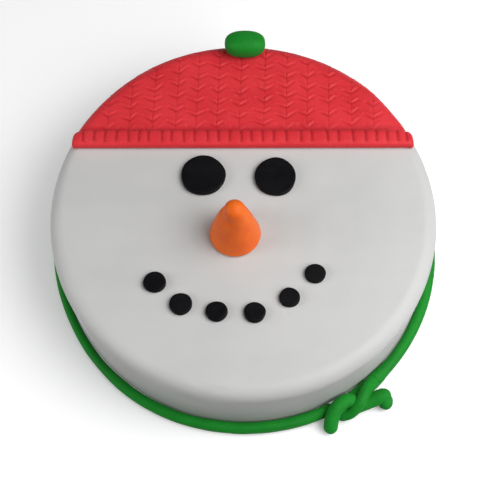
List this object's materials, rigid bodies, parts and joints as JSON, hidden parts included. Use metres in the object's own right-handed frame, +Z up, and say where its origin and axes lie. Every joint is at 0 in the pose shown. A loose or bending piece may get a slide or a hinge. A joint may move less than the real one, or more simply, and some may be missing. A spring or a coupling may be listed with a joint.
{
  "type": "fondant cake",
  "caption": "Round celebration cake in white fondant, dressed as a snowman's face with a knitted hat, bobble, carrot nose, coal eyes and mouth, and a rope scarf round its foot.",
  "frame": {"origin": "middle of the cake's flat base", "axes": "+Z up through the top of the cake, where the face looks up; +Y from the chin towards the hat; +X towards the face's right-hand eye as it is looked at"},
  "size_m": [0.2744, 0.2789, 0.1056],
  "materials": {
    "white_paste": "matte",
    "red_paste": "matte",
    "green_paste": "matte",
    "black_paste": "matte",
    "orange_paste": "matte"
  },
  "bodies": {
    "root": {"cake": "white_paste", "eye_left": "black_paste", "eye_right": "black_paste", "hat_bobble": "green_paste", "hat_brim": "red_paste", "hat_crown": "red_paste", "mouth_1": "black_paste", "mouth_2": "black_paste", "mouth_3": "black_paste", "mouth_4": "black_paste", "mouth_5": "black_paste", "mouth_6": "black_paste", "nose": "orange_paste", "scarf": "green_paste"}
  },
  "joints": []
}
